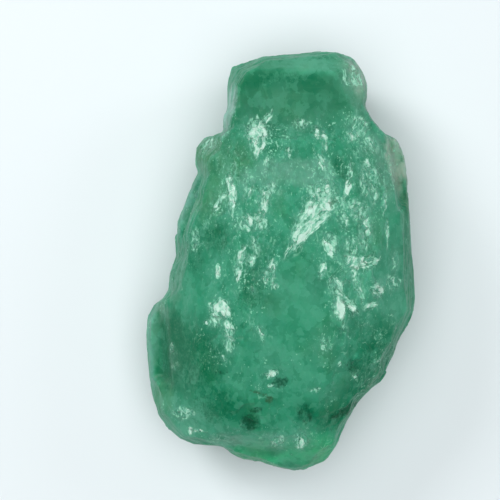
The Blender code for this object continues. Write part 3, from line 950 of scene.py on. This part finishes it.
def sugar_and_glints_of(w, place, smooth, sprinkle):
    """Pale strokes and grains, and sparks that are painted glints, all over, with fewer where it is
    smooth, from 0 to 1.
    """
    density = w.math("MULTIPLY_ADD", sprinkle, 0.4, w.math("MULTIPLY", smooth, -0.35))
    strokes = strokes_of(w, place, density)
    grains = strokes_of(w, w.vector("MULTIPLY", place, (2.2, 2.6, 2.2)), density)
    marks = w.math("MULTIPLY", w.math("MAXIMUM", strokes, grains), 0.45)
    sparks = w.math("MULTIPLY", sparks_of(w, place, density), w.window(smooth, 0.9, 0.6))
    return w.math("MAXIMUM", marks, sparks)


def stained_and_shaded(w, base, place, stain, colour):
    """Lays blotchy stains and painted shadows of their own colour over a colour."""
    blot = w.math("MULTIPLY", cover_of(w, w.vector("MULTIPLY", place, (1.4, 2.2, 1.4))), 0.8)
    blot = w.window(w.math("ADD", blot, stain), 0.1, 1.1)
    blot = w.math("MULTIPLY", blot, w.window(stain, 0.0, 0.4))
    return w.colour_blend(w.math("MULTIPLY", blot, 0.75), base, colour)


def grain_bump(w, place, smooth):
    """Height in metres of the grain of the surface, which is weak on the walls and smooth parts."""
    fine = w.noise(w.vector("MULTIPLY", place, FINE_GRAIN), 3.0, 0.6)
    grains = w.tilted_cells(place, GRAIN, (0.0, 0.0, 0.0), GRAIN_SPREAD)
    facing = w.node("ShaderNodeSeparateXYZ", {0: w.node("ShaderNodeTexCoord").outputs["Normal"]})
    facing = w.window(facing.outputs["Z"], 0.3, 0.85)
    rough = w.math("SUBTRACT", 1.0, w.math("MULTIPLY", smooth, 0.8))
    rough = w.math("MULTIPLY", rough, w.blend(facing, 0.4, 1.0))
    height = w.math("MULTIPLY_ADD", fine, FINE_GRAIN_BUMP, grains)
    return w.math("MULTIPLY", w.math("MULTIPLY", height, rough), MM)


def emerald_finish(colours):
    """Milky see-through green, with glossy flakes and noise in its colour and roughness. Painted glints
    and halos on the flakes, and the painted shadows and glow of the zones and stains, are in its colour.
    """
    emerald = bpy.data.materials.new("milky emerald")
    emerald.use_nodes = True
    w = Wiring(emerald.node_tree)
    shader = emerald.node_tree.nodes["Principled BSDF"]
    output = emerald.node_tree.nodes["Material Output"]
    place = w.vector("MULTIPLY", w.node("ShaderNodeTexCoord").outputs["Object"], (1 / MM,) * 3)

    def attribute(name, socket="Fac"):
        return w.node("ShaderNodeAttribute", attribute_name=name).outputs[socket]

    def feed(socket, value):
        emerald.node_tree.links.new(value, shader.inputs[socket])

    flake, smooth, sprinkle = attribute("flake"), attribute("smooth"), attribute("sprinkle")
    patch_place = attribute("patch_place", "Vector")
    cover = flake_cover(w, patch_place, flake)
    strokes = flake_strokes(w, cover)
    # Painted glints: the flakes' frost and the sparks round them are laid on as pale colour.
    whiteness = w.math("MAXIMUM", w.math("MULTIPLY", strokes, 0.85),
                       sugar_and_glints_of(w, place, smooth, sprinkle))
    base = stone_green(w, place, attribute("zone", "Vector"), smooth)
    # Painted halo: a pale icy glow round the flakes, over haze in the stone.
    haze_and_halo = w.math("MULTIPLY_ADD", flake, 0.25, w.math("MULTIPLY", sprinkle, 0.15))
    base = w.colour_blend(haze_and_halo, base, GREENS["icy_haze_and_glow"])
    base = w.colour_blend(whiteness, base, GREENS["frost_and_glint"])
    # Painted glints: the brightest chips turn almost white.
    base = tinted(w, base, "white", 0.95, cover, 0.9, 1.5)
    cracks = w.math("MULTIPLY", chip_cracks(w, patch_place, cover), 0.7)
    base = w.colour_blend(cracks, base, GREENS["dark"])
    # Stains, and painted shadows in a few places.
    base = stained_and_shaded(w, base, place, attribute("stain"), attribute("stain_colour", "Vector"))
    feed("Base Color", base)
    feed("Roughness", w.blend(flake, 0.34, 0.2))
    feed("Subsurface Weight", w.blend(whiteness, 0.6, 0.0))
    feed("Coat Weight", w.math("MULTIPLY", flake, 0.45))

    chips = flake_chips(w, patch_place, attribute("patch_lean", "Vector"))
    chipped = w.math("MULTIPLY", w.window(attribute("chipped"), 0.2, 1.0), BUMPED_SHARE * MM)
    height = w.math("MULTIPLY_ADD", strokes, STROKE_BUMP * MM, grain_bump(w, place, smooth))
    height = w.math("ADD", w.math("MULTIPLY", chips, chipped), height)
    feed("Normal", w.node("ShaderNodeBump", {"Height": height, "Distance": 1.0}).outputs[0])

    shader.inputs["IOR"].default_value = colours.ior
    shader.inputs["Specular IOR Level"].default_value = 0.05
    shader.inputs["Transmission Weight"].default_value = colours.clearness
    shader.inputs["Subsurface Radius"].default_value = (0.4, 1.0, 0.7)
    shader.inputs["Subsurface Scale"].default_value = colours.milk_depth
    shader.inputs["Coat Roughness"].default_value = 0.12
    shader.inputs["Coat IOR"].default_value = 1.8
    depth = w.node("ShaderNodeVolumeAbsorption", {"Color": (*colours.absorption, 1.0),
                                                  "Density": colours.absorption_density})
    emerald.node_tree.links.new(depth.outputs[0], output.inputs["Volume"])
    return emerald


class EmeraldSurface(bpy.types.PropertyGroup):
    """How the crystal's surface is broken."""
    grid: bpy.props.FloatProperty(
        name="Grid", description="Spacing of the surface's points before the front is made finer",
        default=0.143 * MM, unit="LENGTH", precision=6)
    relief: bpy.props.FloatProperty(
        name="Relief", description="How deep the breaks are, 1 for the real depth", default=1.0)
    flake_lean: bpy.props.FloatVectorProperty(
        name="Flake lean", description="Slope that the sparkling flakes share", size=3,
        default=(0.28, -0.28, 0.0))


class EmeraldColours(bpy.types.PropertyGroup):
    """What the stone looks like inside and out."""
    ior: bpy.props.FloatProperty(
        name="IOR", description="Index of refraction of beryl", default=1.58)
    clearness: bpy.props.FloatProperty(
        name="Clearness", description="Share of the light that passes straight through",
        default=0.25, subtype="FACTOR", min=0.0, max=1.0)
    milk_depth: bpy.props.FloatProperty(
        name="Milk depth", description="How far light spreads in the milky stone",
        default=1.0 * MM, unit="LENGTH", precision=6)
    absorption: bpy.props.FloatVectorProperty(
        name="Absorption", description="Colour that clear stone lets through", size=3,
        default=(0.35, 0.85, 0.65), subtype="COLOR", min=0.0, max=1.0)
    absorption_density: bpy.props.FloatProperty(
        name="Absorption density", description="Absorption for each metre of stone",
        default=120.0)


class EmeraldInclusions(bpy.types.PropertyGroup):
    """What is sealed in the stone."""
    mica: bpy.props.FloatVectorProperty(
        name="Mica", description="Colour of the dark specks", size=3,
        default=(0.004, 0.02, 0.012), subtype="COLOR", min=0.0, max=1.0)
    rust: bpy.props.FloatVectorProperty(
        name="Rust", description="Colour of the healed crack", size=3,
        default=(0.12, 0.05, 0.02), subtype="COLOR", min=0.0, max=1.0)
    veil: bpy.props.FloatVectorProperty(
        name="Veil", description="Colour of the pale veils", size=3,
        default=(0.6, 0.9, 0.78), subtype="COLOR", min=0.0, max=1.0)
    veil_holes: bpy.props.FloatProperty(
        name="Veil holes", description="Share of a veil that is open", default=0.25,
        subtype="FACTOR", min=0.0, max=1.0)


class EmeraldStage(bpy.types.PropertyGroup):
    """The floor, the lights and the camera."""
    floor_colour: bpy.props.FloatVectorProperty(
        name="Floor", description="Colour of the floor", size=3, default=(0.735, 0.795, 0.816),
        subtype="COLOR", min=0.0, max=1.0)
    horizon: bpy.props.FloatProperty(
        name="Horizon", description="Strength of the light at the horizon", default=0.9)
    sides: bpy.props.FloatProperty(
        name="Sides", description="Strength of the light from above the horizon", default=0.2)
    overhead: bpy.props.FloatProperty(
        name="Overhead", description="Strength of the light from straight above", default=0.1)
    fill: bpy.props.FloatProperty(
        name="Fill", description="Power of the wide light overhead, which isn't mirrored",
        default=380.0, unit="POWER")
    key: bpy.props.FloatProperty(
        name="Key", description="Power of the main soft light", default=0.09, unit="POWER",
        precision=4)


class CRYSTAL_OT_add_emerald(bpy.types.Operator):
    """Adds the rough crystal itself"""
    bl_idname = "crystal.add_emerald"
    bl_label = "Rough crystal"

    def execute(self, context):
        crystal = shape_crystal(context.scene.emerald_surface)
        crystal.data.materials.clear()
        crystal.data.materials.append(emerald_finish(context.scene.emerald_colours))
        finish_piece(crystal, CAD_NODE)
        return {"FINISHED"}


class CRYSTAL_OT_add_mica(bpy.types.Operator):
    """Adds the dark specks of mica sealed near the foot"""
    bl_idname = "crystal.add_mica"
    bl_label = "Mica specks"

    def execute(self, context):
        colour = tuple(context.scene.emerald_inclusions.mica)
        mica = grainy_finish("dark mica", colour, tuple(share * 3 for share in colour), 0.4, 0.1 * MM)
        for name, speck in SPECKS.items():
            piece = shape_speck(name, speck)
            piece.data.materials.append(mica)
            finish_piece(piece)
        return {"FINISHED"}


class CRYSTAL_OT_add_crack(bpy.types.Operator):
    """Adds the healed crack with its rusty stain"""
    bl_idname = "crystal.add_crack"
    bl_label = "Healed crack"

    def execute(self, context):
        rust = tuple(context.scene.emerald_inclusions.rust)
        piece = shape_sheet("healed_crack", CRACK, 0.0)
        piece.data.materials.append(
            grainy_finish("rusty stain", rust, tuple(share * 2 for share in rust), 0.7, 0.15 * MM))
        finish_piece(piece)
        return {"FINISHED"}


class CRYSTAL_OT_add_veils(bpy.types.Operator):
    """Adds the pale veils, which are healed cracks full of tiny bubbles"""
    bl_idname = "crystal.add_veils"
    bl_label = "Veils"

    def execute(self, context):
        inclusions = context.scene.emerald_inclusions
        pale = tuple(inclusions.veil)
        frosty = grainy_finish("frosty veil", tuple(share * 0.7 for share in pale), pale, 0.5, 0.2 * MM)
        for name, sheet in VEILS.items():
            piece = shape_sheet(name, sheet, inclusions.veil_holes)
            piece.data.materials.append(frosty)
            finish_piece(piece)
        return {"FINISHED"}


def soft_light(name, place, size, power):
    """A square soft light that shines on the middle of the crystal."""
    low, high = CAD_BOX
    middle = (low + high) / 2
    light = bpy.data.lights.new(name, "AREA")
    light.size = size
    light.energy = power
    lamp = bpy.data.objects.new(name, light)
    lamp.location = place
    lamp.rotation_euler = (middle - Vector(place)).to_track_quat("-Z", "Y").to_euler()
    lamp.visible_camera = False
    lamp.visible_transmission = False
    bpy.context.scene.collection.objects.link(lamp)
    return lamp


def studio_air(stage):
    """Pale light from all round that is bright at the horizon and dim overhead."""
    air = bpy.data.worlds.new("studio air")
    air.use_nodes = True
    w = Wiring(air.node_tree)
    upwards = w.node("ShaderNodeSeparateXYZ", {0: w.node("ShaderNodeTexCoord").outputs["Generated"]})
    climb = upwards.outputs["Z"]
    above = w.blend(w.window(climb, 0.2, 0.7), stage.sides, stage.overhead)
    strength = w.blend(w.window(climb, 0.04, 0.12), stage.horizon, above)
    sky = air.node_tree.nodes["Background"]
    sky.inputs["Color"].default_value = (0.92, 0.97, 1.0, 1.0)
    air.node_tree.links.new(strength, sky.inputs["Strength"])
    return air


class CRYSTAL_OT_add_stage(bpy.types.Operator):
    """Adds the floor, soft lights and a camera that looks straight down"""
    bl_idname = "crystal.add_stage"
    bl_label = "Stage"

    def execute(self, context):
        stage = context.scene.emerald_stage
        bpy.ops.object.select_all(action="DESELECT")
        bpy.ops.mesh.primitive_plane_add(size=FLOOR_SIZE, location=(0.0, 0.0, -FLOOR_GAP))
        floor = context.active_object
        floor.name = "floor"
        bpy.ops.object.transform_apply(location=True)
        pale = bpy.data.materials.new("pale floor")
        pale.use_nodes = True
        shader = pale.node_tree.nodes["Principled BSDF"]
        shader.inputs["Base Color"].default_value = (*stage.floor_colour, 1.0)
        shader.inputs["Roughness"].default_value = 0.8
        floor.data.materials.append(pale)
        context.scene.world = studio_air(stage)
        soft_light("key", (-0.09, 0.08, 0.11), 0.05, stage.key)
        soft_light("side", (0.11, 0.05, 0.09), 0.04, stage.key * SIDE_SHARE)
        fill = soft_light("fill", (0.0, 0.0, FILL_SIZE), FILL_SIZE, stage.fill)
        fill.visible_glossy = False
        lens = bpy.data.cameras.new("camera")
        lens.lens = FOCAL_LENGTH
        lens.clip_start = 0.01
        camera = bpy.data.objects.new("camera", lens)
        camera.location = CAMERA_PLACE
        context.scene.collection.objects.link(camera)
        context.scene.camera = camera
        context.scene.view_settings.view_transform = "Standard"
        return {"FINISHED"}


class CRYSTAL_PT_panel(bpy.types.Panel):
    """Lists buttons that add the crystal's pieces, in the sidebar"""
    bl_idname = "CRYSTAL_PT_panel"
    bl_label = "Raw emerald"
    bl_space_type = "VIEW_3D"
    bl_region_type = "UI"
    bl_category = "Emerald"

    def draw(self, context):
        for operator in OPERATORS:
            self.layout.operator(operator.bl_idname)


GROUPS = {"emerald_surface": EmeraldSurface, "emerald_colours": EmeraldColours,
          "emerald_inclusions": EmeraldInclusions, "emerald_stage": EmeraldStage}
OPERATORS = (CRYSTAL_OT_add_stage, CRYSTAL_OT_add_emerald, CRYSTAL_OT_add_mica,
             CRYSTAL_OT_add_crack, CRYSTAL_OT_add_veils)


def register():
    for name, group in GROUPS.items():
        bpy.utils.register_class(group)
        setattr(bpy.types.Scene, name, bpy.props.PointerProperty(type=group))
    for cls in (*OPERATORS, CRYSTAL_PT_panel):
        bpy.utils.register_class(cls)


def unregister():
    for cls in (CRYSTAL_PT_panel, *reversed(OPERATORS)):
        bpy.utils.unregister_class(cls)
    for name, group in reversed(GROUPS.items()):
        delattr(bpy.types.Scene, name)
        bpy.utils.unregister_class(group)


def main():
    """Builds every piece."""
    register()
    bpy.ops.crystal.add_stage()
    bpy.ops.crystal.add_emerald()
    bpy.ops.crystal.add_mica()
    bpy.ops.crystal.add_crack()
    bpy.ops.crystal.add_veils()


if __name__ == "__main__":
    main()
